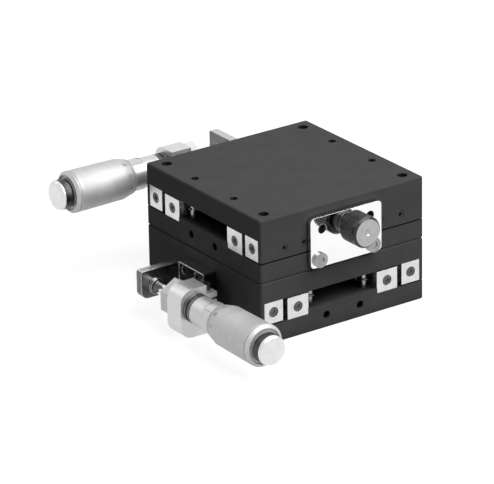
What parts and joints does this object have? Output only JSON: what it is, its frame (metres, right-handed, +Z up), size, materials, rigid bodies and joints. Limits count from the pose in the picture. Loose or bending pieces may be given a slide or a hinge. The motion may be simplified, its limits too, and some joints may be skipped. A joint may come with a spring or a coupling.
{
  "type": "two-axis translation stage",
  "caption": "Two-axis crossed-roller translation stage: two stacked 60 mm black tables, each moved by a side micrometer and held by a lock knob.",
  "frame": {"origin": "centre of the lower base's underside", "axes": "+Z up through both tables; +Y the lower table's travel, +X the upper table's travel; the lower micrometer is on the -X side, the upper one on the +Y side"},
  "size_m": [0.0974, 0.1045, 0.04],
  "materials": {
    "black_anodised": "matt black anodised",
    "ground_steel": "ground",
    "black_screw": "black oxide",
    "bright_screw": "bright steel",
    "roller_steel": "lapped",
    "cage_brass": "rolled",
    "spring_steel": "drawn wire",
    "plated_plate": "polished nickel plate",
    "knob_nickel": "satin nickel plate",
    "satin_chrome": "satin chrome plate",
    "holder_aluminium": "clear anodised",
    "dark_collar": "blackened",
    "polished_steel": "ground and polished"
  },
  "bodies": {
    "lower_base": {"lower_base": "black_anodised", "lower_inner_rails": "ground_steel", "lower_inner_end_plates": "ground_steel", "lower_inner_rail_screws": "black_screw", "lower_inner_stop_screws": "black_screw", "lower_return_springs": "spring_steel", "lower_base_spring_posts": "bright_screw", "lower_lock_plate": "plated_plate", "lower_lock_plate_screws": "bright_screw", "lower_micrometer_holder": "holder_aluminium", "lower_holder_screws": "black_screw", "lower_micrometer_nut": "satin_chrome", "lower_micrometer_collar": "dark_collar", "lower_micrometer_sleeve": "satin_chrome"},
    "lower_cages": {"lower_roller_cages": "cage_brass", "lower_rollers": "roller_steel"},
    "lower_table": {"lower_table": "black_anodised", "lower_outer_rails": "ground_steel", "lower_outer_end_plates": "ground_steel", "lower_outer_rail_screws": "black_screw", "lower_outer_stop_screws": "black_screw", "lower_table_spring_posts": "bright_screw", "lower_preload_screws": "black_screw", "lower_anvil_bracket": "plated_plate", "lower_anvil_screws": "black_screw", "joining_screws": "black_screw", "upper_base": "black_anodised", "upper_inner_rails": "ground_steel", "upper_inner_end_plates": "ground_steel", "upper_inner_rail_screws": "black_screw", "upper_inner_stop_screws": "black_screw", "upper_return_springs": "spring_steel", "upper_base_spring_posts": "bright_screw", "upper_lock_plate": "plated_plate", "upper_lock_plate_screws": "bright_screw", "upper_micrometer_holder": "holder_aluminium", "upper_holder_screws": "black_screw", "upper_micrometer_nut": "satin_chrome", "upper_micrometer_collar": "dark_collar", "upper_micrometer_sleeve": "satin_chrome"},
    "lower_spindle": {"lower_spindle": "polished_steel"},
    "lower_thimble": {"lower_thimble": "satin_chrome", "lower_thimble_cap": "satin_chrome"},
    "lower_lock_knob": {"lower_lock_knob": "knob_nickel"},
    "upper_cages": {"upper_roller_cages": "cage_brass", "upper_rollers": "roller_steel"},
    "upper_table": {"upper_table": "black_anodised", "upper_outer_rails": "ground_steel", "upper_outer_end_plates": "ground_steel", "upper_outer_rail_screws": "black_screw", "upper_outer_stop_screws": "black_screw", "upper_table_spring_posts": "bright_screw", "upper_preload_screws": "black_screw", "upper_anvil_bracket": "plated_plate", "upper_anvil_screws": "black_screw"},
    "upper_spindle": {"upper_spindle": "polished_steel"},
    "upper_thimble": {"upper_thimble": "satin_chrome", "upper_thimble_cap": "satin_chrome"},
    "upper_lock_knob": {"upper_lock_knob": "knob_nickel"}
  },
  "joints": [
    {"name": "lower_spindle_slide", "type": "slide", "parent": "lower_base", "child": "lower_spindle", "axis": [0, 1, 0], "range_m": [-0.0065, 0.0065]},
    {"name": "lower_thimble_spin", "type": "hinge", "parent": "lower_spindle", "child": "lower_thimble", "pos_m": [-0.0431, 0, 0.0109], "axis": [0, 1, 0], "range_deg": [-4680, 4680]},
    {"name": "lower_table_slide", "type": "slide", "parent": "lower_base", "child": "lower_table", "axis": [0, 1, 0], "range_m": [-0.0065, 0.0065], "deforming": ["lower_return_springs"]},
    {"name": "lower_cage_slide", "type": "slide", "parent": "lower_base", "child": "lower_cages", "axis": [0, 1, 0], "range_m": [-0.00325, 0.00325]},
    {"name": "lower_lock_turn", "type": "hinge", "parent": "lower_base", "child": "lower_lock_knob", "pos_m": [0.03, 0, 0.0131], "axis": [1, 0, 0], "range_deg": [-180, 90]},
    {"name": "upper_spindle_slide", "type": "slide", "parent": "lower_table", "child": "upper_spindle", "axis": [1, 0, 0], "range_m": [-0.0065, 0.0065]},
    {"name": "upper_thimble_spin", "type": "hinge", "parent": "upper_spindle", "child": "upper_thimble", "pos_m": [0, 0.0431, 0.0309], "axis": [1, 0, 0], "range_deg": [-4680, 4680]},
    {"name": "upper_table_slide", "type": "slide", "parent": "lower_table", "child": "upper_table", "axis": [1, 0, 0], "range_m": [-0.0065, 0.0065], "deforming": ["upper_return_springs"]},
    {"name": "upper_cage_slide", "type": "slide", "parent": "lower_table", "child": "upper_cages", "axis": [1, 0, 0], "range_m": [-0.00325, 0.00325]},
    {"name": "upper_lock_turn", "type": "hinge", "parent": "lower_table", "child": "upper_lock_knob", "pos_m": [0, -0.03, 0.0331], "axis": [0, -1, 0], "range_deg": [-180, 90]}
  ],
  "couplings": [
    {"joint": "lower_spindle_slide", "follows": "lower_table_slide", "ratio": 1},
    {"joint": "lower_cage_slide", "follows": "lower_table_slide", "ratio": 0.5},
    {"joint": "lower_thimble_spin", "follows": "lower_table_slide", "rad_per_m": 12566},
    {"joint": "upper_spindle_slide", "follows": "upper_table_slide", "ratio": 1},
    {"joint": "upper_cage_slide", "follows": "upper_table_slide", "ratio": 0.5},
    {"joint": "upper_thimble_spin", "follows": "upper_table_slide", "rad_per_m": 12566}
  ]
}
